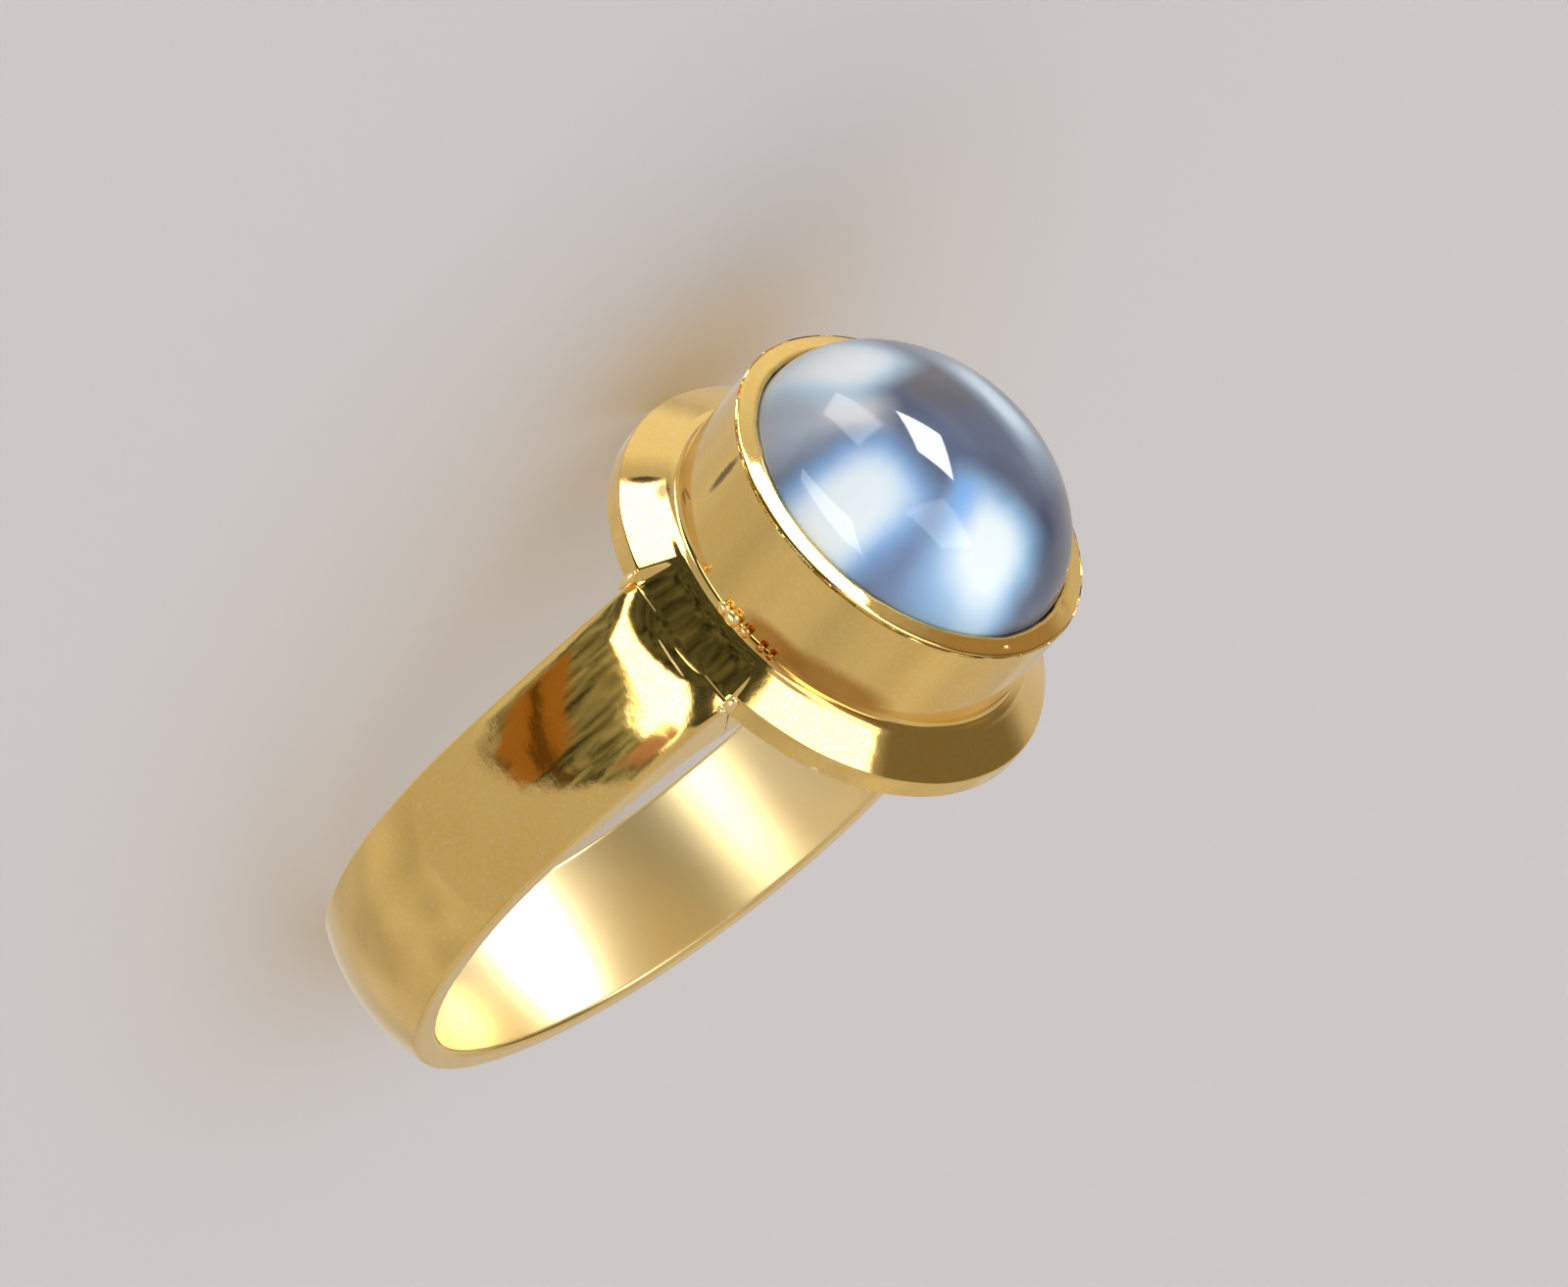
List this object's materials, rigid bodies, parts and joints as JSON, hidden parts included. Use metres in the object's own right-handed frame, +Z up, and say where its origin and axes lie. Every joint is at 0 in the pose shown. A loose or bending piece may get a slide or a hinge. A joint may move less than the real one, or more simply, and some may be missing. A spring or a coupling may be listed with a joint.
{
  "type": "cabochon ring",
  "caption": "Finger ring with a round domed stone in a plain rubbed-over collar, on a wide round plate across a band with a rounded outside.",
  "frame": {"origin": "middle of the ring's footprint, on the surface it lies on, with the ring on its side", "axes": "+Z up; +X across the band, square to both the finger hole and the stone's axis; -Y towards the stone, whose axis is tipped up by 14.1 degrees; the finger hole's axis lies in the YZ plane, 14.1 degrees off +Z"},
  "size_m": [0.0194, 0.0252, 0.0129],
  "materials": {
    "yellow_gold": "polished yellow gold with fine wear scratches and small dots of solder",
    "moonstone": "polished translucent blue-grey with a pale floating sheen"
  },
  "bodies": {
    "root": {"gold_mount": "yellow_gold", "moonstone": "moonstone"}
  },
  "joints": []
}
